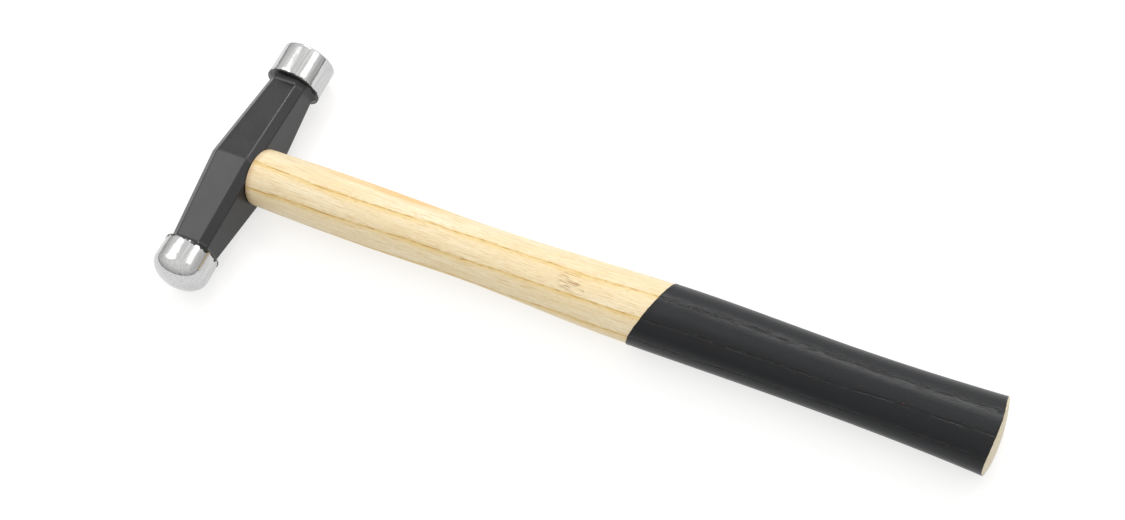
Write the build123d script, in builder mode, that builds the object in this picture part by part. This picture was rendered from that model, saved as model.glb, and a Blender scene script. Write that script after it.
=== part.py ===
"""Ball peen hammer lying on its cheek: forged head, ash handle, wedges and two coats.

Millimetres.  +X runs along the handle from head to butt, +Y from the dome to the
flat face, +Z is up.  The origin is the centre of the bounding box's underside.
Every place below is measured from the middle of the eye, on the handle's axis.
"""
from build123d import *
import os
from math import asin, cos, degrees, hypot, radians, sin

# Round ends of the head
FACE_RADIUS = 11.0
DOME_RADIUS = 11.0
FACE_FLANGE_BACK = 40.3
FACE_FLANGE_RIM = 53.7
FACE_CHAMFER = 0.7
DOME_FLANGE_BACK = 36.9
DOME_SPRING = 45.4
DOME_DEPTH = 7.5
DOME_BACK_ROUND = 0.7

# Octagonal body: flats, and the two legs of each corner chamfer
RIDGE_FLAT_X = 6.6
RIDGE_HALF_Z = 11.5
NECK_FLAT_X = 4.9
NECK_HALF_Z = 6.8
RIDGE_CHAMFER_X = 3.1
RIDGE_CHAMFER_Z = 2.5
NECK_CHAMFER_X = 2.9
NECK_CHAMFER_Z = 2.3
NECK_FILLET = 2.6
FACE_FLARE_ANGLE = 75.0
DOME_FLARE_ANGLE = 45.0
FLARE_SHARES = (0, 0.3, 0.55, 0.8, 1)

# Oval eye, narrowest at its waist; half-sizes along Y and Z
EYE_MOUTH = (8.8, 6.9)
EYE_WAIST = (8.3, 6.4)
EYE_CROWN = (9.3, 7.4)
EYE_PAST_SHOULDER = 1.5

# Handle stations: distance from the eye, half-width in Y, sideways drift of the centre
SHOULDER_X = 9.4
HANDLE_STATIONS = [
    (SHOULDER_X, 11.15, 0.0),
    (45.0, 11.55, 0.0),
    (75.0, 11.3, 0.0),
    (100.0, 10.9, 0.1),
    (150.0, 12.2, 0.1),
    (187.0, 12.7, 0.7),
    (240.0, 12.2, 0.6),
    (294.6, 13.6, 0.6),
    (300.0, 13.9, 0.6),
]
LYING_HALF_HEIGHT = 12.06
HEAD_END_OVAL = 1.03
BUTT_END_OVAL = 0.86
OVAL_LENGTH = 294.6
SHOULDER_ROUND = 0.4
TENON_PROUD = 0.8

# Butt: its tip, and the two radii of its crowned end
BUTT_TIP = 297.35
BUTT_DRIFT = 0.6
CROWN_ACROSS = 52.7
CROWN_UPRIGHT = 114.8
BUTT_BLANK_HALF = 17.0
BUTT_BLANK_LENGTH = 6.0

# Wedges, driven in from the top of the head
WOOD_WEDGE_TOP = 3.0
WOOD_WEDGE_TIP = 0.8
WOOD_WEDGE_LENGTH = 15.0
WOOD_WEDGE_HALF_WIDTH = 10.3
STEEL_WEDGE_TOP = 2.2
STEEL_WEDGE_TIP = 0.6
STEEL_WEDGE_LENGTH = 10.5
STEEL_WEDGE_WIDTH = 9.0
STEEL_WEDGE_BARB = 0.25
STEEL_WEDGE_STEPS = 3
STEEL_WEDGE_OFFSET = 4.8

# Coats, and the oblique plane where the dipped lacquer starts
ENAMEL = 0.15
LACQUER = 0.25
LACQUER_START = 172.6
LACQUER_LEAN_Y = 0.32
LACQUER_LEAN_Z = 0.22

# Sizes that follow from the dimensions above
RIDGE_HALF_X = RIDGE_FLAT_X + RIDGE_CHAMFER_X
TENON_TOP = RIDGE_HALF_X + ENAMEL + TENON_PROUD
FACE_Y = FACE_FLANGE_RIM + FACE_CHAMFER
DOME_TIP = DOME_SPRING + DOME_DEPTH
NECK_Y = FACE_FLANGE_BACK - NECK_FILLET

# Place of the eye in the part's own frame
EYE_X = (FACE_RADIUS - BUTT_TIP) / 2
EYE_Y = (DOME_TIP - FACE_Y) / 2
AXIS_Z = LYING_HALF_HEIGHT
HEAD_AXIS = Axis((EYE_X, EYE_Y, AXIS_Z), (0, 1, 0))
BARREL_AXIS = Axis((EYE_X + BUTT_TIP - CROWN_UPRIGHT, EYE_Y, AXIS_Z), (0, 1, 0))


def head_section(y):
    """Plane square to the head's length, with +X to the right and +Z up."""
    return Plane(origin=(EYE_X, EYE_Y + y, AXIS_Z), x_dir=(1, 0, 0), z_dir=(0, -1, 0))


def handle_section(x, drift=0.0):
    """Plane square to the handle, with +Y to the right and +Z up."""
    return Plane(origin=(EYE_X + x, EYE_Y + drift, AXIS_Z), x_dir=(0, 1, 0), z_dir=(1, 0, 0))


def level_plane(drift=0.0):
    """Horizontal plane through the handle's axis."""
    return Plane(origin=(EYE_X, EYE_Y + drift, AXIS_Z))


def octagon_corners(y, coat):
    """Corners of the body's octagon at y, grown by the thickness of a coat."""
    slant = abs(y) / NECK_Y
    flat = RIDGE_FLAT_X + (NECK_FLAT_X - RIDGE_FLAT_X) * slant
    half_z = RIDGE_HALF_Z + (NECK_HALF_Z - RIDGE_HALF_Z) * slant
    leg_x = RIDGE_CHAMFER_X + (NECK_CHAMFER_X - RIDGE_CHAMFER_X) * slant
    leg_z = RIDGE_CHAMFER_Z + (NECK_CHAMFER_Z - RIDGE_CHAMFER_Z) * slant
    side = hypot(leg_x, leg_z)
    cheek_x = flat + coat * (side - leg_x) / leg_z
    cheek_z = half_z + coat
    flank_x = flat + leg_x + coat
    flank_z = half_z - leg_z + coat * (side - leg_z) / leg_x
    right = [(flank_x, flank_z), (cheek_x, cheek_z)]
    upper = right + [(-x, z) for x, z in reversed(right)]
    return upper + [(-x, -z) for x, z in upper]


def octagon(y, growth):
    """Face with the body's octagonal outline at y, grown by an even margin."""
    with BuildSketch(head_section(y)) as outline:
        Polygon(*octagon_corners(y, growth), align=None)
    return outline.sketch


def flare_start(back, flare_angle):
    """Place along the head where the concave fillet leaves the body's flats."""
    side = 1 if back > 0 else -1
    return back - side * NECK_FILLET * sin(radians(flare_angle))


def flare_outlines(back, flare_angle, coat):
    """Octagons that follow the concave neck fillet up to the back of a round end."""
    side = 1 if back > 0 else -1
    start = flare_start(back, flare_angle)
    sweep = NECK_FILLET - coat
    reach = asin((abs(back - start) - coat) / sweep)
    outlines = []
    for share in FLARE_SHARES:
        turn = reach * share
        growth = coat + sweep * (1 - cos(turn))
        outlines.append(octagon(start + side * sweep * sin(turn), growth))
    return outlines


def body_outlines(coat):
    """Octagons at both necks and at the sharp ridge between them."""
    dome_neck = flare_start(-DOME_FLANGE_BACK, DOME_FLARE_ANGLE)
    face_neck = flare_start(FACE_FLANGE_BACK, FACE_FLARE_ANGLE)
    return [octagon(y, coat) for y in (dome_neck, 0, face_neck)]


def eye_outlines():
    """Ellipses of the hourglass eye, from the crown to past the mouth."""
    mouth_x = SHOULDER_X + EYE_PAST_SHOULDER
    stations = ((-TENON_TOP, EYE_CROWN), (0, EYE_WAIST), (mouth_x, EYE_MOUTH))
    outlines = []
    for x, (half_y, half_z) in stations:
        with BuildSketch(handle_section(x)) as outline:
            Ellipse(half_y, half_z)
        outlines.append(outline.sketch)
    return outlines


def handle_outlines(coat):
    """Ellipses of the handle, round at the head and flatter towards the butt."""
    outlines = []
    for x, half_y, drift in HANDLE_STATIONS:
        oval = HEAD_END_OVAL + (BUTT_END_OVAL - HEAD_END_OVAL) * x / OVAL_LENGTH
        with BuildSketch(handle_section(x, drift)) as outline:
            Ellipse(half_y + coat, half_y * oval + coat)
        outlines.append(outline.sketch)
    return outlines


def barrel_section():
    """Half-section of a barrel whose bulge is the butt's crowned end."""
    opening = degrees(asin(BUTT_BLANK_HALF / CROWN_ACROSS))
    middle_x = BUTT_TIP - CROWN_UPRIGHT
    with BuildSketch(level_plane(BUTT_DRIFT)) as section:
        with BuildLine():
            crown = CenterArc((BUTT_TIP - CROWN_ACROSS, 0), CROWN_ACROSS, -opening, 2 * opening)
            Polyline(
                crown @ 1,
                (middle_x, BUTT_BLANK_HALF),
                (middle_x, -BUTT_BLANK_HALF),
                crown @ 0,
            )
        make_face()
    return section.sketch


def steel_wedge_outline(offset):
    """Side outline of a wedge with two rows of barbs, its blunt end at the tenon's top."""
    half_top = STEEL_WEDGE_TOP / 2
    half_tip = STEEL_WEDGE_TIP / 2
    one_side = []
    for step in range(STEEL_WEDGE_STEPS):
        begin = step / STEEL_WEDGE_STEPS
        end = (step + 1) / STEEL_WEDGE_STEPS
        barb = STEEL_WEDGE_BARB if end < 1 else 0
        wide = half_top + (half_tip - half_top) * begin
        narrow = half_top + (half_tip - half_top) * end - barb
        one_side.append((begin * STEEL_WEDGE_LENGTH - TENON_TOP, wide))
        one_side.append((end * STEEL_WEDGE_LENGTH - TENON_TOP, narrow))
    other_side = [(x, -y) for x, y in reversed(one_side)]
    corners = [(x, y + offset) for x, y in one_side + other_side]
    with BuildSketch(level_plane()) as outline:
        Polygon(*corners, align=None)
    return outline.sketch


# Head: drop-forged octagonal body, turned and polished at both ends
with BuildPart() as hammer_head:
    loft(body_outlines(0), ruled=True)
    loft(flare_outlines(FACE_FLANGE_BACK, FACE_FLARE_ANGLE, 0))
    loft(flare_outlines(-DOME_FLANGE_BACK, DOME_FLARE_ANGLE, 0))
    with BuildSketch(level_plane()):
        Polygon(
            (0, FACE_FLANGE_BACK),
            (FACE_RADIUS, FACE_FLANGE_BACK),
            (FACE_RADIUS, FACE_FLANGE_RIM),
            (FACE_RADIUS - FACE_CHAMFER, FACE_Y),
            (0, FACE_Y),
            align=None,
        )
    revolve(axis=HEAD_AXIS)
    with BuildSketch(level_plane()):
        with BuildLine():
            back_round = CenterArc(
                (DOME_RADIUS - DOME_BACK_ROUND, -DOME_FLANGE_BACK - DOME_BACK_ROUND),
                DOME_BACK_ROUND,
                0,
                90,
            )
            cap = EllipticalCenterArc(
                (0, -DOME_SPRING), DOME_RADIUS, DOME_DEPTH, start_angle=270, arc_size=90
            )
            Line(cap @ 1, back_round @ 0)
            Polyline(back_round @ 1, (0, -DOME_FLANGE_BACK), cap @ 0)
        make_face()
    revolve(axis=HEAD_AXIS)
    loft(eye_outlines(), mode=Mode.SUBTRACT)

# Black enamel: a skin over the forged body and the backs of both round ends
with BuildPart() as head_enamel:
    loft(body_outlines(ENAMEL), ruled=True)
    loft(flare_outlines(FACE_FLANGE_BACK, FACE_FLARE_ANGLE, ENAMEL))
    loft(flare_outlines(-DOME_FLANGE_BACK, DOME_FLARE_ANGLE, ENAMEL))
    with BuildSketch(head_section(FACE_FLANGE_BACK)):
        Circle(FACE_RADIUS)
    extrude(amount=ENAMEL)
    with BuildSketch(head_section(-DOME_FLANGE_BACK)):
        Circle(DOME_RADIUS - DOME_BACK_ROUND)
    extrude(amount=-ENAMEL)
    add(hammer_head.part, mode=Mode.SUBTRACT)
    loft(eye_outlines(), mode=Mode.SUBTRACT)

# Wooden wedge: spreads the tenon towards both cheeks
with BuildPart() as wooden_wedge:
    with BuildSketch(head_section(0)):
        Polygon(
            (-TENON_TOP, -WOOD_WEDGE_TOP / 2),
            (-TENON_TOP, WOOD_WEDGE_TOP / 2),
            (WOOD_WEDGE_LENGTH - TENON_TOP, WOOD_WEDGE_TIP / 2),
            (WOOD_WEDGE_LENGTH - TENON_TOP, -WOOD_WEDGE_TIP / 2),
            align=None,
        )
    extrude(amount=WOOD_WEDGE_HALF_WIDTH, both=True)
    loft(eye_outlines(), mode=Mode.INTERSECT)

# Two steel wedges: cross the wooden one and lock it
with BuildPart() as steel_wedge_dome_side:
    extrude(steel_wedge_outline(-STEEL_WEDGE_OFFSET), amount=STEEL_WEDGE_WIDTH / 2, both=True)

with BuildPart() as steel_wedge_face_side:
    extrude(steel_wedge_outline(STEEL_WEDGE_OFFSET), amount=STEEL_WEDGE_WIDTH / 2, both=True)

# Waste beyond the butt: what the crowned end leaves of a square blank
with BuildPart() as butt_waste:
    with Locations((EYE_X + BUTT_TIP, EYE_Y + BUTT_DRIFT, AXIS_Z)):
        Box(2 * BUTT_BLANK_LENGTH, 2 * BUTT_BLANK_HALF, 2 * BUTT_BLANK_HALF)
    revolve(barrel_section(), axis=BARREL_AXIS, mode=Mode.SUBTRACT)

# Handle: shaped ash shaft, its tenon fills the eye around the wedges
with BuildPart() as ash_handle:
    loft(handle_outlines(0))
    fillet(ash_handle.edges().sort_by(Axis.X)[0], SHOULDER_ROUND)
    add(butt_waste.part, mode=Mode.SUBTRACT)
    loft(eye_outlines())
    add(hammer_head.part, mode=Mode.SUBTRACT)
    add(head_enamel.part, mode=Mode.SUBTRACT)
    add(wooden_wedge.part, mode=Mode.SUBTRACT)
    add(steel_wedge_dome_side.part, mode=Mode.SUBTRACT)
    add(steel_wedge_face_side.part, mode=Mode.SUBTRACT)

with wooden_wedge:
    add(steel_wedge_dome_side.part, mode=Mode.SUBTRACT)
    add(steel_wedge_face_side.part, mode=Mode.SUBTRACT)

# Dipped black lacquer: a skin on the grip, cut off flush with the bare crowned butt
LACQUER_EDGE = Plane(
    origin=(EYE_X + LACQUER_START, EYE_Y, AXIS_Z),
    z_dir=(1, -LACQUER_LEAN_Y, -LACQUER_LEAN_Z),
)
with BuildPart() as grip_lacquer:
    loft(handle_outlines(LACQUER))
    add(butt_waste.part, mode=Mode.SUBTRACT)
    split(bisect_by=LACQUER_EDGE, keep=Keep.TOP)
    add(ash_handle.part, mode=Mode.SUBTRACT)

PIECES = {
    "hammer_head": hammer_head,
    "head_enamel": head_enamel,
    "ash_handle": ash_handle,
    "grip_lacquer": grip_lacquer,
    "wooden_wedge": wooden_wedge,
    "steel_wedge_dome_side": steel_wedge_dome_side,
    "steel_wedge_face_side": steel_wedge_face_side,
}

os.makedirs("parts", exist_ok=True)
for name, piece in PIECES.items():
    piece.part.label = name
    export_step(piece.part, f"parts/{name}.step")
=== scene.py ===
"""Looks of the ball peen hammer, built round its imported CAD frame.

Blender works in metres.  Shapes are written in millimetres from the middle of the
eye, on the handle's axis: X runs to the butt, Y to the flat face, Z is up.
"""
from math import asin, atan2, cos, hypot, pi, radians, sin, sqrt

import bmesh
import bpy
import numpy as np
from mathutils import Matrix, Vector, noise


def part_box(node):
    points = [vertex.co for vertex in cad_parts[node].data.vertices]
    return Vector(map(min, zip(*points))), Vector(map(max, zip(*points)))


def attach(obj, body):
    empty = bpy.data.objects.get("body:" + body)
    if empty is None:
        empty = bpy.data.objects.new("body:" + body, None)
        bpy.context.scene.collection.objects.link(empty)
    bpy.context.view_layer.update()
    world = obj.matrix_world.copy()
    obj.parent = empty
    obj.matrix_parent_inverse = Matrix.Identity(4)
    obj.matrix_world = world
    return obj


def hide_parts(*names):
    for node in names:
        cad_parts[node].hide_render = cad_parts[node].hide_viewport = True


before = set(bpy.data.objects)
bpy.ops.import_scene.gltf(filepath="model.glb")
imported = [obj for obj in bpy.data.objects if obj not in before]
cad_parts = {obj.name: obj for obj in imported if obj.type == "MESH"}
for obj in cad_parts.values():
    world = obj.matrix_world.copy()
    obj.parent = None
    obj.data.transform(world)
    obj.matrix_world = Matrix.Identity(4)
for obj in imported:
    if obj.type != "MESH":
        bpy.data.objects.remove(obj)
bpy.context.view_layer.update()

MM = 0.001

# ---------------------------------------------------------------- places from the frame
HEAD_LOW, HEAD_HIGH = (Vector(corner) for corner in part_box("hammer_head"))
WEDGE_LOW, WEDGE_HIGH = (Vector(corner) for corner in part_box("wooden_wedge"))
HANDLE_LOW, HANDLE_HIGH = (Vector(corner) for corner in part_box("ash_handle"))
EYE = Vector((
    (HEAD_LOW.x + HEAD_HIGH.x) / 2,
    (WEDGE_LOW.y + WEDGE_HIGH.y) / 2,
    (HEAD_LOW.z + HEAD_HIGH.z) / 2,
))
FACE_Y = (HEAD_HIGH.y - EYE.y) / MM
DOME_TIP = (EYE.y - HEAD_LOW.y) / MM
BUTT_TIP = (HANDLE_HIGH.x - EYE.x) / MM
TENON_TOP = (EYE.x - HANDLE_LOW.x) / MM

# ---------------------------------------------------------------- shape of the head, mm
FACE_RADIUS = 11.0
FACE_BACK = 40.3
FACE_CHAMFER = 0.7
FACE_BACK_ROUND = 0.12
FLAT_FACE_RADII = (8.0, 5.0, 2.0, 0.5)
DOME_RADIUS = 11.0
DOME_BACK = 36.9
DOME_SPRING = 45.4
DOME_BACK_ROUND = 0.7
DOME_BARREL = 0.2
NECK_FILLET = 2.6
NECK_Y = FACE_BACK - NECK_FILLET
FACE_FLARE = radians(75)
DOME_FLARE = radians(45)
# Half of the cheek's flat along X, the cheek's height, and the chamfer's legs along X and Z.
RIDGE = (6.6, 11.5, 3.1, 2.5)
NECK = (4.9, 6.8, 2.9, 2.3)
EDGE_ROUND = 0.38
ENAMEL = 0.15
COAT_GAP = 0.01
DOME_PAINT_REACH = 1.5
DOME_PAINT_SHARES = (0.15, 0.3, 0.45, 0.6, 0.75, 0.88)
FACE_PAINT_REACH = 0.45
SHARP_ANGLE = radians(32)
FLAT_STEPS = 16
CORNER_STEPS = 5
FLARE_STEPS = 9
DOME_ROUND_STEPS = 6
DOME_BAND_STEPS = 10
DOME_CAP_STEPS = 40
FACE_BAND_STEPS = 8
BELOW_RIDGE_RINGS = 23
ABOVE_RIDGE_RINGS = 25
RIDGE_RINGS = (-2.4, -1.2, -0.7, -0.45, -0.25, -0.1, 0.0, 0.1, 0.25, 0.45, 0.7, 1.2, 2.4)

# ---------------------------------------------------------------- shape of the handle, mm
SHOULDER_X = 9.4
# Half-width along Y, and the middle's drift along Y, at stations along X.
STATION_X = (SHOULDER_X, 45.0, 75.0, 100.0, 150.0, 187.0, 240.0, 294.6, 300.0)
STATION_HALF = (11.15, 11.55, 11.3, 10.9, 12.2, 12.7, 12.2, 13.6, 13.9)
STATION_DRIFT = (0.0, 0.0, 0.0, 0.1, 0.1, 0.7, 0.6, 0.6, 0.6)
BUTT_DRIFT = 0.6
CROWN_ACROSS = 52.7
CROWN_UPRIGHT = 114.8
OVAL_LENGTH = 294.6
HEAD_OVAL = 1.03
BUTT_OVAL = 0.86
LACQUER = 0.25
LACQUER_BEAD = 0.3125
LACQUER_START = 172.6
# How far the lacquer's start moves along X for each mm along Y and Z.
LACQUER_LEAN = (0.32, 0.22)
# Half-axes of the eye along Y and Z: at the tenon's top, at the waist and at the mouth.
EYE_CROWN = (9.3, 7.4)
EYE_WAIST = (8.3, 6.4)
EYE_MOUTH = (8.8, 6.9)
EYE_MOUTH_X = SHOULDER_X + 1.5
EYE_OVERCUT = 1.0
TENON_GAP = 0.01
TENON_EDGE = 0.35
SHOULDER_ROUND = 0.5
BUTT_ROUND = 0.2
WORN_SIDE = radians(40)
WORN_DEPTH = 0.55
EYE_POINTS = 96
EYE_RINGS = 30
HANDLE_POINTS = 160
TENON_RINGS = 12
SHAFT_RINGS = 150
LACQUER_RINGS = 110
LACQUER_UNDER_RINGS = 24
ROUND_STEPS = 6
TENON_TOP_SHARES = (0.98, 0.7, 0.4, 0.15)
SHOULDER_SHARES = (0.25, 0.5, 0.75)
BUTT_SHARES = (0.85, 0.7, 0.55, 0.4, 0.25, 0.1, 0.02)
SETTLING_ROUNDS = 8


# ---------------------------------------------------------------- mesh helpers
def skin(name, rings, loop=False, cap_first=None, cap_last=None):
    """Object of quads between rings of equal length, with optional poles at both ends."""
    mesh_maker = bmesh.new()
    rows = []
    for ring in rings:
        row = [mesh_maker.verts.new(EYE + Vector(point) * MM) for point in ring]
        rows.append(row)
    count = len(rows[0])
    pairs = list(zip(rows, rows[1:]))
    if loop:
        pairs.append((rows[-1], rows[0]))
    for lower, upper in pairs:
        for i in range(count):
            j = (i + 1) % count
            mesh_maker.faces.new((lower[i], lower[j], upper[j], upper[i]))
    for pole, row, flip in ((cap_first, rows[0], True), (cap_last, rows[-1], False)):
        if pole is None:
            continue
        tip = mesh_maker.verts.new(EYE + Vector(pole) * MM)
        for i in range(count):
            j = (i + 1) % count
            face = (row[j], row[i], tip) if flip else (row[i], row[j], tip)
            mesh_maker.faces.new(face)
    bmesh.ops.recalc_face_normals(mesh_maker, faces=mesh_maker.faces)
    mesh = bpy.data.meshes.new(name)
    mesh_maker.to_mesh(mesh)
    mesh_maker.free()
    mesh.shade_smooth()
    piece = bpy.data.objects.new(name, mesh)
    bpy.context.scene.collection.objects.link(piece)
    return piece


def apply_modifiers(piece):
    """Bakes the piece's modifiers into its mesh."""
    graph = bpy.context.evaluated_depsgraph_get()
    solved = bpy.data.meshes.new_from_object(piece.evaluated_get(graph))
    piece.modifiers.clear()
    old = piece.data
    piece.data = solved
    solved.name = old.name
    bpy.data.meshes.remove(old)


def cut(piece, cutter):
    """Takes the cutter's volume out of the piece."""
    boolean = piece.modifiers.new("cut", "BOOLEAN")
    boolean.operation = "DIFFERENCE"
    boolean.solver = "EXACT"
    boolean.object = cutter
    apply_modifiers(piece)


def discard(piece):
    """Removes a helper object and its mesh."""
    mesh = piece.data
    bpy.data.objects.remove(piece)
    bpy.data.meshes.remove(mesh)


def spline(xs, ys):
    """Natural cubic spline through the points, as a function of x."""
    xs = np.array(xs, float)
    ys = np.array(ys, float)
    gaps = np.diff(xs)
    slopes = np.diff(ys) / gaps
    size = len(xs)
    system = np.eye(size)
    right = np.zeros(size)
    for i in range(1, size - 1):
        system[i, i - 1] = gaps[i - 1]
        system[i, i] = 2 * (gaps[i - 1] + gaps[i])
        system[i, i + 1] = gaps[i]
        right[i] = 3 * (slopes[i] - slopes[i - 1])
    bend = np.linalg.solve(system, right)

    def value(x):
        i = int(np.clip(np.searchsorted(xs, x) - 1, 0, size - 2))
        step = x - xs[i]
        rise = slopes[i] - gaps[i] * (2 * bend[i] + bend[i + 1]) / 3
        cube = (bend[i + 1] - bend[i]) / (3 * gaps[i])
        return float(ys[i] + rise * step + bend[i] * step**2 + cube * step**3)

    return value


def ragged(angle, grain, seed):
    """Smooth repeatable unevenness round a circle, about -1 to 1."""
    return noise.noise(Vector((cos(angle) * grain, sin(angle) * grain, seed))) * 2


# ---------------------------------------------------------------- head
def octagon(y, growth, corner=EDGE_ROUND):
    """Ring of the body's octagon at y, grown evenly, its corners rounded."""
    along = sqrt(y * y + EDGE_ROUND**2) - EDGE_ROUND * 0.6
    share = along / NECK_Y
    flat, half_z, leg_x, leg_z = (r + (n - r) * share for r, n in zip(RIDGE, NECK))
    side = hypot(leg_x, leg_z)
    cheek = (flat + growth * (side - leg_x) / leg_z, half_z + growth)
    flank = (flat + leg_x + growth, half_z - leg_z + growth * (side - leg_z) / leg_x)
    right = [flank, cheek]
    upper = right + [(-x, z) for x, z in reversed(right)]
    corners = upper + [(-x, -z) for x, z in upper]
    corners = [Vector(c) for c in corners]
    arcs = []
    for i, here in enumerate(corners):
        before = (corners[i - 1] - here).normalized()
        after = (corners[(i + 1) % 8] - here).normalized()
        start = here + before * corner
        end = here + after * corner
        arc = []
        for k in range(CORNER_STEPS):
            t = k / (CORNER_STEPS - 1)
            arc.append(start * (1 - t) ** 2 + here * 2 * t * (1 - t) + end * t**2)
        arcs.append(arc)
    ring = []
    for i, arc in enumerate(arcs):
        ring += arc
        following = arcs[(i + 1) % 8][0]
        for k in range(1, FLAT_STEPS):
            ring.append(arc[-1].lerp(following, k / FLAT_STEPS))
    return [(p.x, y, p.y) for p in ring]


RING_ANGLES = [atan2(z, x) for x, y, z in octagon(NECK_Y, 0)]


def round_ring(y, radius):
    """Circle across the head, whose points match the octagon's one for one."""
    return [(radius * cos(a), y, radius * sin(a)) for a in RING_ANGLES]


def flare(back, angle, coat):
    """Octagons along the concave neck fillet, from the flats out to the flange."""
    side = 1 if back > 0 else -1
    start = back - side * NECK_FILLET * sin(angle)
    sweep = NECK_FILLET - coat
    reach = asin((abs(back - start) - coat) / sweep)
    rings = []
    for k in range(FLARE_STEPS + 1):
        turn = reach * k / FLARE_STEPS
        growth = coat + sweep * (1 - cos(turn))
        y = start + side * sweep * sin(turn)
        rings.append(octagon(y, growth, EDGE_ROUND + growth * 0.4))
    return rings


def body(coat):
    """Octagons from the dome's neck over the ridge to the face's neck."""
    low = -DOME_BACK + NECK_FILLET * sin(DOME_FLARE)
    high = FACE_BACK - NECK_FILLET * sin(FACE_FLARE)
    below = np.linspace(low, RIDGE_RINGS[0], BELOW_RIDGE_RINGS + 1)[:-1]
    above = np.linspace(RIDGE_RINGS[-1], high, ABOVE_RIDGE_RINGS + 1)[1:]
    return [octagon(y, coat) for y in (*below, *RIDGE_RINGS, *above)]


def blend_rings(first, last, steps):
    """Rings evenly between two rings, both ends left out."""
    rings = []
    for k in range(1, steps):
        t = k / steps
        rings.append([tuple(Vector(a).lerp(Vector(b), t)) for a, b in zip(first, last)])
    return rings


def dome_profile():
    """(y, radius) from the back round over the faintly barrelled band to the dome's tip."""
    points = []
    for k in range(DOME_ROUND_STEPS + 1):
        turn = pi / 2 * k / DOME_ROUND_STEPS
        drop = DOME_BACK_ROUND * (1 - sin(turn)) + DOME_BARREL
        points.append((
            -DOME_BACK - DOME_BACK_ROUND * (1 - cos(turn)),
            DOME_RADIUS - drop,
        ))
    band = DOME_SPRING - DOME_BACK - DOME_BACK_ROUND
    for k in range(1, DOME_BAND_STEPS + 1):
        share = k / DOME_BAND_STEPS
        radius = DOME_RADIUS - DOME_BARREL * (1 - share) ** 2
        points.append((-DOME_BACK - DOME_BACK_ROUND - band * share, radius))
    depth = DOME_TIP - DOME_SPRING
    for k in range(1, DOME_CAP_STEPS):
        turn = pi / 2 * k / DOME_CAP_STEPS
        points.append((-DOME_SPRING - depth * sin(turn), DOME_RADIUS * cos(turn)))
    return points


def face_profile():
    """(y, radius) from the flange's back over the cylinder and chamfer to the flat face."""
    back = FACE_BACK + FACE_BACK_ROUND
    rim = FACE_Y - FACE_CHAMFER
    inner = FACE_RADIUS - FACE_CHAMFER
    softened_back = [
        (FACE_BACK, FACE_RADIUS - FACE_BACK_ROUND),
        (FACE_BACK + FACE_BACK_ROUND / 3, FACE_RADIUS - FACE_BACK_ROUND / 3),
        (back, FACE_RADIUS),
    ]
    band = rim - FACE_BACK - 0.3
    cylinder = []
    for k in range(1, FACE_BAND_STEPS + 1):
        cylinder.append((back + band * k / FACE_BAND_STEPS, FACE_RADIUS))
    softened_chamfer = [
        (rim - 0.04, FACE_RADIUS - 0.01),
        (rim + 0.06, FACE_RADIUS - 0.08),
        (FACE_Y - 0.4, FACE_RADIUS - 0.32),
        (FACE_Y - 0.08, inner + 0.06),
        (FACE_Y - 0.01, inner - 0.04),
        (FACE_Y, inner - 0.15),
    ]
    flat_face = [(FACE_Y, radius) for radius in FLAT_FACE_RADII]
    return softened_back + cylinder + softened_chamfer + flat_face


EYE_STATIONS = (-TENON_TOP, 0, EYE_MOUTH_X)
EYE_HALF_Y = spline(EYE_STATIONS, (EYE_CROWN[0], EYE_WAIST[0], EYE_MOUTH[0]))
EYE_HALF_Z = spline(EYE_STATIONS, (EYE_CROWN[1], EYE_WAIST[1], EYE_MOUTH[1]))


def eye_ring(x):
    """Oval of the eye at x."""
    angles = [2 * pi * i / EYE_POINTS for i in range(EYE_POINTS)]
    return [(x, EYE_HALF_Y(x) * cos(a), EYE_HALF_Z(x) * sin(a)) for a in angles]


def eye_cutter():
    """Closed hourglass that opens the eye right through the head."""
    levels = np.linspace(-TENON_TOP - EYE_OVERCUT, EYE_MOUTH_X + EYE_OVERCUT, EYE_RINGS)
    rings = [eye_ring(x) for x in levels]
    return skin("eye_cutter", rings, cap_first=(levels[0], 0, 0), cap_last=(levels[-1], 0, 0))


def build_head():
    """Forged head: octagonal body between the turned and polished ends."""
    dome_rings = [round_ring(y, r) for y, r in dome_profile()]
    face_rings = [round_ring(y, r) for y, r in face_profile()]
    dome_flare = flare(-DOME_BACK, DOME_FLARE, 0)
    face_flare = flare(FACE_BACK, FACE_FLARE, 0)
    rings = list(reversed(dome_rings))
    rings += blend_rings(dome_rings[0], dome_flare[-1], 3)
    rings += list(reversed(dome_flare))[:-1]
    rings += body(0)
    rings += face_flare[1:]
    rings += blend_rings(face_flare[-1], face_rings[0], 3)
    rings += face_rings
    return skin("forged_head", rings, cap_first=(0, -DOME_TIP, 0), cap_last=(0, FACE_Y, 0))


def dome_paint_edge(reach, lift):
    """Ring on the dome's end, lift mm off the steel, reach mm past the start of its back round.

    Below zero the ring lies on the flat back, and past the round it lies on the band.
    """
    inner = DOME_RADIUS - DOME_BARREL - DOME_BACK_ROUND
    ring = []
    for a in RING_ANGLES:
        past = reach(a)
        if past <= 0:
            radius = inner + past
            ring.append((radius * cos(a), -DOME_BACK + lift, radius * sin(a)))
            continue
        turn = min(past / DOME_BACK_ROUND, pi / 2)
        radius = inner + (DOME_BACK_ROUND + lift) * sin(turn)
        y = -DOME_BACK - DOME_BACK_ROUND + (DOME_BACK_ROUND + lift) * cos(turn)
        beyond = max(past - DOME_BACK_ROUND * pi / 2, 0)
        ring.append((radius * cos(a), y - beyond, radius * sin(a)))
    return ring


def face_paint_edge(reach, lift):
    """Ring wrapped over the rim of the flange, reach mm along the cylinder."""
    ring = []
    for a in RING_ANGLES:
        radius = FACE_RADIUS + lift
        ring.append((radius * cos(a), FACE_BACK + reach(a), radius * sin(a)))
    return ring


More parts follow.
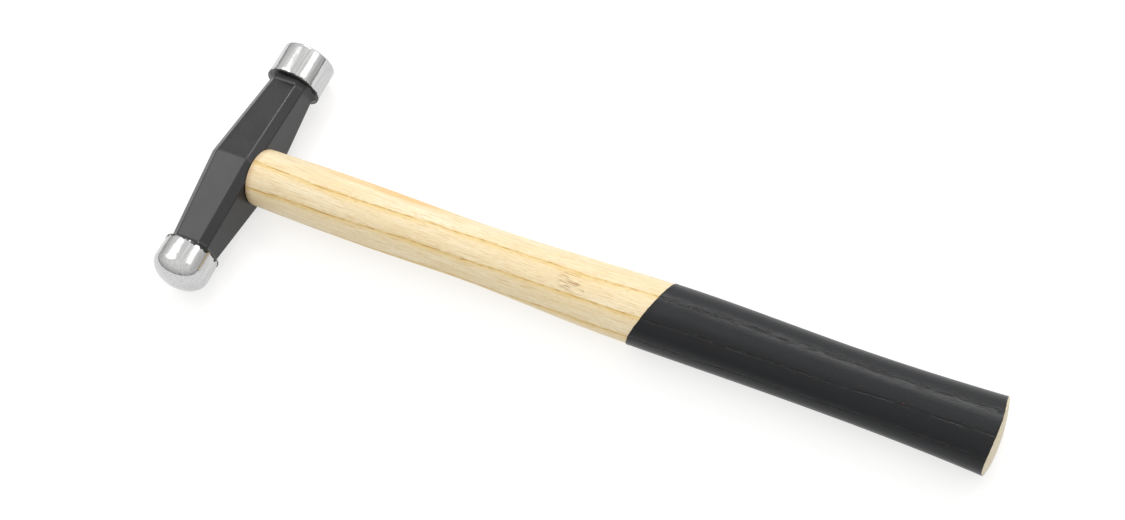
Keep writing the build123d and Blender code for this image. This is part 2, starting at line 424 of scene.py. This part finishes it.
def build_enamel():
    """Black enamel: a closed skin with rough edges where the ends were ground bright."""
    def dome_edge(a):
        return DOME_PAINT_REACH + 0.2 * ragged(a, 3.0, 4.1) + 0.8 * ragged(a, 10.0, 7.7)

    def face_edge(a):
        return FACE_PAINT_REACH + 0.12 * ragged(a, 4.0, 1.3) + 0.25 * ragged(a, 11.0, 2.9)

    dome_flare = flare(-DOME_BACK, DOME_FLARE, ENAMEL)
    face_flare = flare(FACE_BACK, FACE_FLARE, ENAMEL)
    dome_rings = [dome_paint_edge(lambda a: -0.5, ENAMEL), dome_paint_edge(lambda a: -0.1, ENAMEL)]
    for share in DOME_PAINT_SHARES:
        dome_rings.append(dome_paint_edge(lambda a: dome_edge(a) * share, ENAMEL * 0.9))
    dome_rings += [
        dome_paint_edge(lambda a: dome_edge(a) - 0.03, ENAMEL * 0.8),
        dome_paint_edge(dome_edge, -0.02),
    ]
    face_rings = [
        round_ring(FACE_BACK - ENAMEL, FACE_RADIUS * 0.985),
        round_ring(FACE_BACK - ENAMEL * 0.8, FACE_RADIUS * 0.997),
        face_paint_edge(lambda a: 0.0, 0.035),
        face_paint_edge(lambda a: face_edge(a) * 0.8, 0.045),
        face_paint_edge(face_edge, 0.02),
        face_paint_edge(face_edge, -0.03),
    ]
    rings = list(reversed(dome_rings))
    rings += blend_rings(dome_rings[0], dome_flare[-1], 2)
    rings += list(reversed(dome_flare))[:-1]
    rings += body(ENAMEL)
    rings += face_flare[1:]
    rings += blend_rings(face_flare[-1], face_rings[0], 3)
    rings += face_rings
    inner = [face_paint_edge(lambda a: 0.1, -0.05)]
    inner += [round_ring(FACE_BACK - COAT_GAP, FACE_RADIUS - 0.1)]
    inner += list(reversed(flare(FACE_BACK, FACE_FLARE, COAT_GAP)))
    inner += list(reversed(body(COAT_GAP)))[1:-1]
    inner += flare(-DOME_BACK, DOME_FLARE, COAT_GAP)
    inner += [round_ring(-DOME_BACK + COAT_GAP, DOME_RADIUS - DOME_BACK_ROUND - 0.5)]
    return skin("head_coat", rings + inner, loop=True)


# ---------------------------------------------------------------- handle
HALF_WIDTH = spline(STATION_X, STATION_HALF)
DRIFT = spline(STATION_X, STATION_DRIFT)
HANDLE_ANGLES = [2 * pi * i / HANDLE_POINTS for i in range(HANDLE_POINTS)]


def oval(x):
    """Thickness over width of the handle's section at x."""
    return HEAD_OVAL + (BUTT_OVAL - HEAD_OVAL) * x / OVAL_LENGTH


def side_point(x, angle, coat):
    """Point on the handle's side, or on a coat over it."""
    half = HALF_WIDTH(x)
    return (
        x,
        DRIFT(x) + (half + coat) * cos(angle),
        (half * oval(x) + coat) * sin(angle),
    )


def crown_x(y, z):
    """Place along X of the butt's end, crowned more across than upright."""
    reach = CROWN_UPRIGHT - CROWN_ACROSS + sqrt(CROWN_ACROSS**2 - (y - BUTT_DRIFT) ** 2)
    return BUTT_TIP - CROWN_UPRIGHT + sqrt(reach**2 - z**2)


def rim_x(angle, coat):
    """Where the side at this angle meets the crowned end."""
    x = BUTT_TIP
    for _ in range(SETTLING_ROUNDS):
        _, y, z = side_point(x, angle, coat)
        x = crown_x(y, z)
    return x


def underside_x(y, z):
    """Outer surface of the enamel below the head, where the shoulder beds."""
    share = abs(y) / NECK_Y
    flat, half_z, leg_x, leg_z = (r + (n - r) * share for r, n in zip(RIDGE, NECK))
    depth = flat + leg_x + ENAMEL
    below_flank = abs(z) - (half_z - leg_z)
    if below_flank > 0:
        depth -= below_flank * leg_x / leg_z
    return max(depth, SHOULDER_X)


def rounded(first, corner, last, steps):
    """Points of a small curve from first to last, drawn towards the corner between them."""
    a, b, c = Vector(first), Vector(corner), Vector(last)
    points = []
    for k in range(steps + 1):
        t = k / steps
        points.append(tuple(a * (1 - t) ** 2 + b * 2 * t * (1 - t) + c * t**2))
    return points


def across(rows):
    """Turns one list of points per angle into rings, one ring per point."""
    return [list(ring) for ring in zip(*rows)]


def tenon_point(x, angle):
    """Point on the tenon's side, a hair inside the eye."""
    half_y = EYE_HALF_Y(x) - TENON_GAP
    half_z = EYE_HALF_Z(x) - TENON_GAP
    return (x, half_y * cos(angle), half_z * sin(angle))


def handle_row(angle):
    """Points of the handle at one angle, from the tenon's top to the butt's tip."""
    top = tenon_point(-TENON_TOP, angle)
    middle = Vector((-TENON_TOP, 0, 0))
    row = [tuple(Vector(top).lerp(middle, share)) for share in TENON_TOP_SHARES]
    inner = (-TENON_TOP, top[1] * 0.96, top[2] * 0.96)
    row += rounded(inner, top, tenon_point(-TENON_TOP + TENON_EDGE, angle), 4)
    for x in np.linspace(-TENON_TOP + 1.2, SHOULDER_X - 1.0, TENON_RINGS):
        row.append(tenon_point(x, angle))
    _, y, z = tenon_point(SHOULDER_X, angle)
    row.append((underside_x(y, z), y, z))
    _, wide, high = side_point(SHOULDER_X, angle, 0)
    for share in SHOULDER_SHARES:
        out_y, out_z = y + (wide - y) * share, z + (high - z) * share
        row.append((underside_x(out_y, out_z), out_y, out_z))
    keep = 1 - SHOULDER_ROUND / hypot(wide, high)
    start = underside_x(wide * keep, high * keep)
    corner = underside_x(wide, high)
    row += rounded(
        (start, wide * keep, high * keep),
        (corner, wide, high),
        side_point(corner + SHOULDER_ROUND, angle, 0),
        ROUND_STEPS,
    )
    rim = rim_x(angle, 0)
    for x in np.linspace(SHOULDER_X + 1.4, rim - 1.2, SHAFT_RINGS):
        row.append(side_point(x, angle, 0))
    _, y, z = side_point(rim, angle, 0)
    across_y, across_z = y - BUTT_DRIFT, z
    keep = 1 - BUTT_ROUND / hypot(across_y, across_z)
    end_y, end_z = BUTT_DRIFT + across_y * keep, across_z * keep
    row += rounded(
        side_point(rim - BUTT_ROUND, angle, 0),
        (rim, y, z),
        (crown_x(end_y, end_z), end_y, end_z),
        ROUND_STEPS,
    )
    for share in BUTT_SHARES:
        crown_y, crown_z = BUTT_DRIFT + across_y * share, across_z * share
        row.append((crown_x(crown_y, crown_z), crown_y, crown_z))
    return row


def build_handle():
    """Ash shaft with its tenon through the eye, scribed to the underside of the head."""
    rings = across([handle_row(angle) for angle in HANDLE_ANGLES])
    return skin(
        "ash_shaft", rings, cap_first=(-TENON_TOP, 0, 0), cap_last=(BUTT_TIP, BUTT_DRIFT, 0)
    )


def lacquer_edge_x(angle):
    """Where the dipped lacquer starts at this angle: an oblique line, a little uneven."""
    x = LACQUER_START
    for _ in range(SETTLING_ROUNDS):
        _, y, z = side_point(x, angle, 0)
        x = LACQUER_START + LACQUER_LEAN[0] * y + LACQUER_LEAN[1] * z
    return x + 0.10 * ragged(angle, 1.5, 5.5) + 0.06 * ragged(angle, 7.0, 8.8)


def lacquer_end_x(angle):
    """Where the lacquer stops at the butt: at the rim, a little short on its worn side."""
    worn = WORN_DEPTH * max(0.0, cos(angle - WORN_SIDE)) ** 6
    return rim_x(angle, 0) - 0.03 - worn - 0.04 * (1 + ragged(angle, 9.0, 3.3))


def lacquer_row(angle):
    """Points of the lacquer skin at one angle, out along it and back beneath."""
    edge = lacquer_edge_x(angle)
    rim = lacquer_end_x(angle)
    row = [side_point(edge, angle, 0.0)]
    row += rounded(
        side_point(edge + 0.02, angle, LACQUER * 0.5),
        side_point(edge + 0.06, angle, LACQUER_BEAD),
        side_point(edge + 0.5, angle, LACQUER_BEAD),
        5,
    )
    row.append(side_point(edge + 1.2, angle, LACQUER * 1.05))
    for x in np.linspace(edge + 2.2, rim - 1.2, LACQUER_RINGS):
        row.append(side_point(x, angle, LACQUER))
    row += rounded(
        side_point(rim - BUTT_ROUND, angle, LACQUER),
        side_point(rim + 0.05, angle, LACQUER),
        side_point(rim, angle, 0.02),
        ROUND_STEPS,
    )
    for x in np.linspace(rim - 0.4, edge + 0.4, LACQUER_UNDER_RINGS):
        row.append(side_point(x, angle, COAT_GAP))
    return row


def build_lacquer():
    """Black lacquer dipped over the grip, thicker along its edge."""
    rings = across([lacquer_row(angle) for angle in HANDLE_ANGLES])
    return skin("grip_dip", rings, loop=True)


# ---------------------------------------------------------------- material helper
class Shader:
    """A node material, and short ways to add nodes to it."""

    def __init__(self, name):
        self.material = bpy.data.materials.new(name)
        self.material.use_nodes = True
        self.tree = self.material.node_tree
        self.surface = self.tree.nodes["Principled BSDF"]

    def node(self, kind, inputs, **settings):
        """Adds a node, sets its properties and fills or links its inputs."""
        made = self.tree.nodes.new(kind)
        for key, value in settings.items():
            setattr(made, key, value)
        for key, value in inputs.items():
            self.feed(made.inputs[key], value)
        return made

    def feed(self, socket, value):
        """Links an output to the socket, or sets the socket's own value."""
        if isinstance(value, bpy.types.NodeSocket):
            self.tree.links.new(value, socket)
        else:
            socket.default_value = value

    def math(self, operation, *values):
        """Result of one math step."""
        made = self.node("ShaderNodeMath", dict(enumerate(values)), operation=operation)
        return made.outputs[0]

    def vector(self, operation, *values):
        """Result of one vector step."""
        made = self.node("ShaderNodeVectorMath", dict(enumerate(values)), operation=operation)
        return made.outputs["Value" if operation == "DOT_PRODUCT" else "Vector"]

    def noise(self, where, scale, detail=2.0, roughness=0.5, seed=0.0):
        """Fractal noise from 0 to 1; seed moves it to an unrelated patch."""
        moved = self.vector("ADD", where, (seed, seed * 1.7, -seed))
        inputs = {"Vector": moved, "Scale": scale, "Detail": detail, "Roughness": roughness}
        return self.node("ShaderNodeTexNoise", inputs).outputs["Fac"]

    def remap(self, value, low, high, out_low=0.0, out_high=1.0, smooth=True):
        """Value moved from one range to another and held there."""
        inputs = {"Value": value, "From Min": low, "From Max": high,
                  "To Min": out_low, "To Max": out_high}
        kind = "SMOOTHSTEP" if smooth else "LINEAR"
        return self.node("ShaderNodeMapRange", inputs, interpolation_type=kind).outputs["Result"]

    def mix(self, factor, first, second, blend="MIX"):
        """Two colours mixed."""
        made = self.node("ShaderNodeMix", {}, data_type="RGBA", blend_type=blend)
        for index, value in ((0, factor), (6, first), (7, second)):
            self.feed(made.inputs[index], value)
        return made.outputs[2]

    def millimetres(self):
        """Position in millimetres from the middle of the eye."""
        place = self.node("ShaderNodeTexCoord", {}).outputs["Object"]
        moved = self.vector("SUBTRACT", place, tuple(EYE))
        return self.vector("MULTIPLY", moved, (1 / MM, 1 / MM, 1 / MM))

    def bump(self, height, distance, strength=1.0, under=None):
        """Surface relief; distance in millimetres for a height of one."""
        inputs = {"Height": height, "Distance": distance * MM, "Strength": strength}
        if under is not None:
            inputs["Normal"] = under
        return self.node("ShaderNodeBump", inputs).outputs["Normal"]

    def finish(self, **sockets):
        """Feeds the main shader; underscores in the names stand for spaces."""
        for key, value in sockets.items():
            self.feed(self.surface.inputs[key.replace("_", " ")], value)
        return self.material


def linear(red, green, blue):
    """Colour with alpha from sRGB parts of 255."""
    parts = []
    for part in (red, green, blue):
        share = part / 255
        parts.append(share / 12.92 if share <= 0.04045 else ((share + 0.055) / 1.055) ** 2.4)
    return (*parts, 1.0)


def stretched(shader, place, x, y, z):
    """Place divided by a feature's size along each axis."""
    return shader.vector("MULTIPLY", place, (1 / x, 1 / y, 1 / z))


# ---------------------------------------------------------------- ash
RING_TILT = radians(34)
RING_GAP = 7.9
RING_PLACE = 6.5
GRAIN_RUNOUT = 0.021
GRAIN_LEVEL_X = 100
HEAD_LIFT = 2.1
HEAD_LIFT_X = (8, 58)
MARK_SPOTS = (((144.0, -2.4, 11.0), (5.5, 4.4, 6.0)), ((149.0, -4.8, 10.0), (2.4, 1.4, 4.0)))
BLUSH_SPOT = ((60.0, 9.5, 6.5), (38.0, 5.0, 6.0))
# Along X, where the shaft darkens below the head: painted shade at the joint with the head, partly
# a darker stain of the wood.
HEAD_SHADE_AND_STAIN_X = (9.6, 12.5)
END_GRAIN_X = (294.6, 295.0)


def growth_rings(shader, place):
    """Signed distance in mm from the nearest growth-ring line; positive is below it."""
    slow = shader.noise(stretched(shader, place, 95, 16, 16), 1.0, 1.0, seed=3.0)
    quick = shader.noise(stretched(shader, place, 16, 5, 5), 1.0, 2.0, seed=8.0)
    depth = shader.vector("DOT_PRODUCT", place, (-GRAIN_RUNOUT, cos(RING_TILT), sin(RING_TILT)))
    depth = shader.math("ADD", depth, GRAIN_LEVEL_X * GRAIN_RUNOUT)
    depth = shader.math("ADD", depth, shader.remap(slow, 0.2, 0.8, -0.9, 0.9, smooth=False))
    depth = shader.math("ADD", depth, shader.remap(quick, 0.2, 0.8, -0.35, 0.35, smooth=False))
    along = shader.node("ShaderNodeSeparateXYZ", {"Vector": place}).outputs["X"]
    lift = shader.remap(along, *HEAD_LIFT_X, HEAD_LIFT, 0.0)
    upper = shader.remap(depth, 0.0, 6.0)
    depth = shader.math("SUBTRACT", depth, shader.math("MULTIPLY", lift, upper))
    turns = shader.math("DIVIDE", shader.math("SUBTRACT", RING_PLACE, depth), RING_GAP)
    nearest = shader.math("ROUND", turns)
    return shader.math("MULTIPLY", shader.math("SUBTRACT", turns, nearest), RING_GAP)


def wood_pores(shader, place, length, width, low, high, seed):
    """Short open pores that run along the grain, 1 inside and 0 outside."""
    field = shader.noise(stretched(shader, place, length, width, width), 1.0, 1.0, 0.4, seed)
    return shader.remap(field, low, high)


def near_spot(shader, place, centre, reach):
    """1 in the middle of a spot, fading to 0 at its reach along each axis."""
    away = shader.vector("SUBTRACT", place, centre)
    away = shader.vector("DIVIDE", away, reach)
    distance = shader.node("ShaderNodeVectorMath", {0: away}, operation="LENGTH")
    return shader.remap(distance.outputs["Value"], 0.55, 1.0, 1.0, 0.0)


def ash_material():
    """Pale ash: thin golden ring lines with open pores, fine fibre and a thin oil finish."""
    shader = Shader("ash")
    place = shader.millimetres()
    below = growth_rings(shader, place)
    gap = shader.math("ABSOLUTE", below)
    dashes = shader.noise(stretched(shader, place, 4.0, 0.7, 0.7), 1.0, 2.0, 0.6, 12.0)
    patches = shader.noise(stretched(shader, place, 26, 6, 6), 1.0, 2.0, 0.5, 21.0)
    line = shader.remap(gap, 0.05, 0.55, 1.0, 0.0)
    line = shader.math("MULTIPLY", line, shader.remap(dashes, 0.35, 0.58, 0.4, 1.0))
    line = shader.math("MULTIPLY", line, shader.remap(patches, 0.25, 0.6, 0.65, 1.0))
    core = shader.math(
        "MULTIPLY", shader.remap(gap, 0.05, 0.24, 1.0, 0.0), shader.remap(dashes, 0.48, 0.6)
    )
    halo = shader.math(
        "MULTIPLY", shader.remap(below, -0.35, 0.15), shader.remap(below, 0.2, 2.3, 1.0, 0.0)
    )
    halo = shader.math("MULTIPLY", halo, shader.remap(patches, 0.3, 0.62, 0.35, 1.0))
    cloud = shader.noise(stretched(shader, place, 40, 7, 7), 1.0, 3.0, 0.55, 33.0)
    fibre = shader.noise(stretched(shader, place, 22, 0.42, 0.42), 1.0, 3.0, 0.6, 41.0)
    hair = shader.noise(stretched(shader, place, 9, 0.28, 0.28), 1.0, 2.0, 0.6, 47.0)
    fleck = shader.noise(stretched(shader, place, 1.4, 0.5, 0.5), 1.0, 3.0, 0.65, 52.0)
    pores = wood_pores(shader, place, 2.6, 0.26, 0.58, 0.68, 61.0)
    early = shader.remap(gap, 0.2, 2.2, 1.0, 0.35)
    pores = shader.math("MULTIPLY", pores, early)
    streaks = shader.noise(stretched(shader, place, 5.0, 0.32, 0.32), 1.0, 1.0, 0.4, 91.0)
    mark = shader.math("MAXIMUM", *(near_spot(shader, place, *spot) for spot in MARK_SPOTS))
    mark = shader.math("MULTIPLY", mark, shader.remap(streaks, 0.46, 0.62))
    blush = near_spot(shader, place, *BLUSH_SPOT)
    blush = shader.math("MULTIPLY", blush, shader.remap(cloud, 0.3, 0.6, 0.6, 1.0))
    along = shader.node("ShaderNodeSeparateXYZ", {"Vector": place}).outputs["X"]
    # Painted shade under the head, partly a darker wood stain: brown that fades out over the first
    # few mm of the shaft below the shoulder.
    stain = shader.math("MULTIPLY", shader.remap(along, *HEAD_SHADE_AND_STAIN_X, 1.0, 0.0), 0.45)
    end_grain = shader.noise(stretched(shader, place, 4.0, 0.5, 0.5), 1.0, 3.0, 0.65, 97.0)
    end_colour = shader.mix(
        shader.remap(end_grain, 0.4, 0.65), linear(206, 200, 180), linear(176, 158, 122)
    )

    colour = shader.mix(
        shader.remap(cloud, 0.3, 0.7), linear(224, 212, 184), linear(218, 200, 162)
    )
    colour = shader.mix(
        shader.remap(fibre, 0.35, 0.7, 0.0, 0.6), colour, linear(211, 189, 146)
    )
    colour = shader.mix(
        shader.remap(hair, 0.5, 0.72, 0.0, 0.8), colour, linear(194, 164, 116)
    )
    colour = shader.mix(
        shader.remap(fleck, 0.45, 0.75, 0.0, 0.45), colour, linear(203, 182, 146)
    )
    colour = shader.mix(
        shader.math("MULTIPLY", blush, 0.8), colour, linear(216, 172, 108)
    )
    colour = shader.mix(
        shader.math("MULTIPLY", halo, 0.75), colour, linear(212, 183, 120)
    )
    colour = shader.mix(
        shader.math("MULTIPLY", pores, 0.6), colour, linear(186, 154, 108)
    )
    colour = shader.mix(shader.math("MULTIPLY", line, 0.85), colour, linear(194, 160, 82))
    colour = shader.mix(shader.math("MULTIPLY", core, 0.55), colour, linear(150, 106, 54))
    # Painted shade and stain where the shaft meets the head.
    colour = shader.mix(stain, colour, linear(150, 112, 74))
    colour = shader.mix(shader.math("MULTIPLY", mark, 0.65), colour, linear(142, 98, 58))
    colour = shader.mix(shader.remap(along, *END_GRAIN_X, 0.0, 0.8), colour, end_colour)
    height = shader.math("SUBTRACT", shader.math("MULTIPLY", fibre, 0.35), pores)
    height = shader.math("SUBTRACT", height, shader.math("MULTIPLY", line, 0.5))
    return shader.finish(
        Base_Color=colour,
        Roughness=shader.remap(fibre, 0.3, 0.7, 0.42, 0.56),
        Specular_IOR_Level=0.4,
        Normal=shader.bump(height, 0.035),
    )


# ---------------------------------------------------------------- coats and steel
def enamel_material():
    """Satin black stove enamel with a faint orange peel."""
    shader = Shader("head enamel")
    place = shader.millimetres()
    peel = shader.noise(place, 1.1, 2.0, 0.5, 5.0)
    grain = shader.noise(place, 6.0, 2.0, 0.5, 15.0)
    cloud = shader.noise(place, 0.11, 2.0, 0.5, 25.0)
    colour = shader.mix(cloud, linear(20, 20, 22), linear(27, 27, 29))
    height = shader.math("ADD", peel, shader.math("MULTIPLY", grain, 0.25))
    return shader.finish(
        Base_Color=colour,
        Roughness=shader.remap(cloud, 0.3, 0.7, 0.24, 0.3),
        Normal=shader.bump(height, 0.012),
    )


def lacquer_material():
    """Satin black lacquer that follows the ash's pores and ring lines, with painted shade in them.
    """
    shader = Shader("grip lacquer")
    place = shader.millimetres()
    gap = shader.math("ABSOLUTE", growth_rings(shader, place))
    near = shader.remap(gap, 0.15, 1.6, 1.0, 0.0)
    pores = wood_pores(shader, place, 4.5, 0.36, 0.56, 0.66, 61.0)
    pores = shader.math("MULTIPLY", pores, shader.remap(near, 0.0, 1.0, 0.15, 1.0))
    groove = wood_pores(shader, place, 3.2, 0.5, 0.42, 0.52, 66.0)
    groove = shader.math("MULTIPLY", groove, shader.remap(gap, 0.16, 0.46, 1.0, 0.0))
    swell = shader.noise(stretched(shader, place, 20, 3, 3), 1.0, 2.0, 0.5, 71.0)
    fibre = shader.noise(stretched(shader, place, 18, 0.5, 0.5), 1.0, 2.0, 0.5, 41.0)
    cloud = shader.noise(stretched(shader, place, 30, 8, 8), 1.0, 2.0, 0.5, 77.0)
    rust = shader.noise(stretched(shader, place, 1.2, 0.4, 0.4), 1.0, 1.0, 0.5, 83.0)
    colour = shader.mix(cloud, linear(12, 14, 17), linear(17, 19, 23))
    rust = shader.math(
        "MULTIPLY", shader.remap(rust, 0.7, 0.76), shader.remap(near, 0.0, 1.0, 0.2, 1.0)
    )
    colour = shader.mix(rust, colour, linear(96, 52, 30))
    # Painted shade: the sunken pores and ring grooves are coloured darker than the rest of the
    # lacquer.
    colour = shader.mix(shader.math("MAXIMUM", pores, groove), colour, linear(8, 8, 8))
    height = shader.math("SUBTRACT", shader.math("MULTIPLY", fibre, 0.2), pores)
    height = shader.math("SUBTRACT", height, shader.math("MULTIPLY", groove, 2.0))
    height = shader.math("ADD", height, shader.math("MULTIPLY", swell, 0.6))
    return shader.finish(
        Base_Color=colour,
        Roughness=shader.remap(fibre, 0.3, 0.7, 0.31, 0.39),
        Specular_IOR_Level=0.27,
        Normal=shader.bump(height, 0.055),
    )


def polished_steel_material():
    """Bright polished steel with faint lengthwise polishing marks."""
    shader = Shader("polished steel")
    place = shader.millimetres()
    marks = shader.noise(stretched(shader, place, 0.5, 14, 0.5), 1.0, 3.0, 0.6, 2.0)
    waves = shader.noise(stretched(shader, place, 3.0, 30, 3.0), 1.0, 1.0, 0.5, 7.0)
    ripple = shader.noise(place, 0.3, 2.0, 0.5, 17.0)
    height = shader.math("ADD", shader.math("MULTIPLY", marks, 0.2), waves)
    height = shader.math("ADD", height, shader.math("MULTIPLY", ripple, 1.5))
    streaks = shader.remap(marks, 0.35, 0.65)
    colour = shader.mix(streaks, linear(184, 184, 187), linear(204, 204, 203))
    return shader.finish(
        Base_Color=colour,
        Metallic=1.0,
        Roughness=shader.remap(marks, 0.3, 0.7, 0.06, 0.13),
        Normal=shader.bump(height, 0.04),
    )


def wedge_steel_material():
    """Plain pressed steel, dull, with a little brown in its low places."""
    shader = Shader("wedge steel")
    place = shader.millimetres()
    marks = shader.noise(stretched(shader, place, 1.5, 0.15, 0.3), 1.0, 3.0, 0.6, 3.0)
    stain = shader.noise(place, 0.6, 3.0, 0.6, 9.0)
    colour = shader.mix(marks, linear(150, 150, 150), linear(186, 186, 184))
    colour = shader.mix(shader.remap(stain, 0.5, 0.75, 0.0, 0.5), colour, linear(120, 98, 78))
    return shader.finish(
        Base_Color=colour,
        Metallic=1.0,
        Roughness=shader.remap(marks, 0.3, 0.7, 0.3, 0.5),
        Normal=shader.bump(marks, 0.03),
    )


def wedge_wood_material():
    """Beech wedge, its grain running down into the tenon."""
    shader = Shader("wedge wood")
    place = shader.millimetres()
    fibre = shader.noise(stretched(shader, place, 12, 0.4, 0.3), 1.0, 3.0, 0.6, 4.0)
    fleck = shader.noise(stretched(shader, place, 0.9, 0.25, 0.15), 1.0, 1.0, 0.5, 6.0)
    colour = shader.mix(fibre, linear(226, 190, 142), linear(206, 164, 114))
    colour = shader.mix(shader.remap(fleck, 0.6, 0.7, 0.0, 0.6), colour, linear(160, 112, 70))
    return shader.finish(
        Base_Color=colour,
        Roughness=shader.remap(fibre, 0.3, 0.7, 0.55, 0.7),
        Normal=shader.bump(fibre, 0.04),
    )


def floor_material():
    """Plain white light table: most of its white is its own glow, so shadows stay faint."""
    shader = Shader("studio floor")
    return shader.finish(
        Base_Color=(0.3, 0.302, 0.307, 1.0),
        Roughness=0.9,
        Specular_IOR_Level=0.1,
        Emission_Color=(1.0, 0.995, 0.985, 1.0),
        Emission_Strength=0.7,
    )


# ---------------------------------------------------------------- the object
def dress(piece, material, slot, *nodes):
    """Gives a piece its material and hides the CAD nodes that it stands for. The slot argument is
    not used.
    """
    piece.data.materials.clear()
    piece.data.materials.append(material)
    piece.data.set_sharp_from_angle(angle=SHARP_ANGLE)
    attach(piece, "root")
    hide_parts(*nodes)


eye = eye_cutter()
head = build_head()
cut(head, eye)
enamel = build_enamel()
cut(enamel, eye)
discard(eye)
shaft = build_handle()
for wedge in ("wooden_wedge", "steel_wedge_dome_side", "steel_wedge_face_side"):
    kerf = bpy.data.objects.new("kerf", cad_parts[wedge].data.copy())
    bpy.context.scene.collection.objects.link(kerf)
    cut(shaft, kerf)
    discard(kerf)
dip = build_lacquer()

dress(head, polished_steel_material(), "polished_steel", "hammer_head")
dress(enamel, enamel_material(), "black_enamel", "head_enamel")
dress(shaft, ash_material(), "ash", "ash_handle")
dress(dip, lacquer_material(), "black_lacquer", "grip_lacquer")

wedge_steel = wedge_steel_material()
for name, material in (
    ("wooden_wedge", wedge_wood_material()),
    ("steel_wedge_dome_side", wedge_steel),
    ("steel_wedge_face_side", wedge_steel),
):
    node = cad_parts[name]
    node.data.materials.clear()
    node.data.materials.append(material)


# ---------------------------------------------------------------- floor, light, camera
def build_floor(half):
    """Square of floor under the hammer."""
    mesh = bpy.data.meshes.new("floor")
    corners = [(-half, -half, 0), (half, -half, 0), (half, half, 0), (-half, half, 0)]
    mesh.from_pydata(corners, [], [(0, 1, 2, 3)])
    mesh.materials.append(floor_material())
    floor = bpy.data.objects.new("floor", mesh)
    bpy.context.scene.collection.objects.link(floor)


def direction(azimuth, elevation):
    """Unit vector from the hammer towards azimuth and elevation, in degrees."""
    turn, tilt = radians(azimuth), radians(elevation)
    return Vector((sin(turn) * cos(tilt), -cos(turn) * cos(tilt), sin(tilt)))


def build_world(heights, panels):
    """White studio tent, lit by its height above the horizon and by soft panels in it.

    heights: (sine of elevation, brightness).  panels: (azimuth, elevation, half-width
    of the even part, half-width of the glow, added brightness), in degrees.
    """
    world = bpy.data.worlds.new("studio tent")
    bpy.context.scene.world = world
    world.use_nodes = True
    tree = world.node_tree

    def add(kind, inputs, **settings):
        made = tree.nodes.new(kind)
        for key, value in settings.items():
            setattr(made, key, value)
        for key, value in inputs.items():
            if isinstance(value, bpy.types.NodeSocket):
                tree.links.new(value, made.inputs[key])
            else:
                made.inputs[key].default_value = value
        return made

    where = add("ShaderNodeTexCoord", {}).outputs["Generated"]
    level = add("ShaderNodeSeparateXYZ", {0: where}).outputs["Z"]
    spread = add("ShaderNodeMapRange", {"Value": level, "From Min": -1.0}).outputs["Result"]
    ramp = add("ShaderNodeValToRGB", {"Fac": spread})
    stops = ramp.color_ramp.elements
    stops.remove(stops[1])
    for index, (height, shade) in enumerate(heights):
        place = (height + 1) / 2
        point = stops[0] if index == 0 else stops.new(place)
        point.position = place
        point.color = (*(shade * part for part in TENT_TINT), 1.0)
    total = ramp.outputs["Color"]
    for azimuth, elevation, inner, outer, strength in panels:
        aim = tuple(direction(azimuth, elevation))
        near = add("ShaderNodeVectorMath", {0: where, 1: aim}, operation="DOT_PRODUCT")
        glow = add(
            "ShaderNodeMapRange",
            {
                "Value": near.outputs["Value"],
                "From Min": cos(radians(outer)),
                "From Max": cos(radians(inner)),
                "To Max": strength,
            },
            interpolation_type="SMOOTHSTEP",
        ).outputs["Result"]
        total = add("ShaderNodeVectorMath", {0: total, 1: glow}, operation="ADD").outputs[0]
    seen = add("ShaderNodeLightPath", {}).outputs["Is Camera Ray"]
    choose = add("ShaderNodeMix", {0: seen, 6: total, 7: (1.0, 1.0, 1.0, 1.0)}, data_type="RGBA")
    tree.links.new(choose.outputs[2], tree.nodes["Background"].inputs["Color"])


def build_camera(azimuth, elevation, roll, distance, target, lens):
    """Camera that looks at the target, turned about its own line of sight by roll."""
    twist = radians(roll)
    back = direction(azimuth, elevation)
    level = Vector((0, 0, 1)).cross(back).normalized()
    above = back.cross(level)
    right = level * cos(twist) + above * sin(twist)
    up = above * cos(twist) - level * sin(twist)
    camera = bpy.data.objects.new("camera", bpy.data.cameras.new("camera"))
    place = EYE + Vector(target) * MM + back * distance * MM
    facing = Matrix((right, up, back)).transposed().to_4x4()
    camera.matrix_world = Matrix.Translation(place) @ facing
    camera.data.sensor_width = SENSOR_WIDTH
    camera.data.lens = lens
    camera.data.clip_start = CLIP_START
    bpy.context.scene.collection.objects.link(camera)
    bpy.context.scene.camera = camera


FLOOR_HALF = 1.5
TENT_TINT = (1.0, 0.995, 0.975)
TENT_BRIGHTNESS = (
    (-0.2, 0.6), (-0.02, 0.6), (0.0, 0.2), (0.035, 0.3), (0.07, 0.6),
    (0.35, 0.84), (0.6, 1.03), (1.0, 1.1),
)
TENT_PANELS = (
    (262, 60, 8, 24, 2.0),
    (194, 46, 3, 13, 9.0),
    (122, 43, 3, 14, 1.5),
    (190, 15, 4, 22, 0.7),
    (165, 54, 2, 8, 10.0),
)
VIEW_AZIMUTH, VIEW_ELEVATION, VIEW_ROLL = 42.73, 60.41, -19.49
VIEW_DISTANCE = 589.25
VIEW_TARGET = (134.03, 8.68, 0.0)
LENS = 52.65
SENSOR_WIDTH = 36.0
CLIP_START = 0.01

build_floor(FLOOR_HALF)
build_world(TENT_BRIGHTNESS, TENT_PANELS)
build_camera(VIEW_AZIMUTH, VIEW_ELEVATION, VIEW_ROLL, VIEW_DISTANCE, VIEW_TARGET, LENS)
bpy.context.scene.view_settings.view_transform = "Standard"
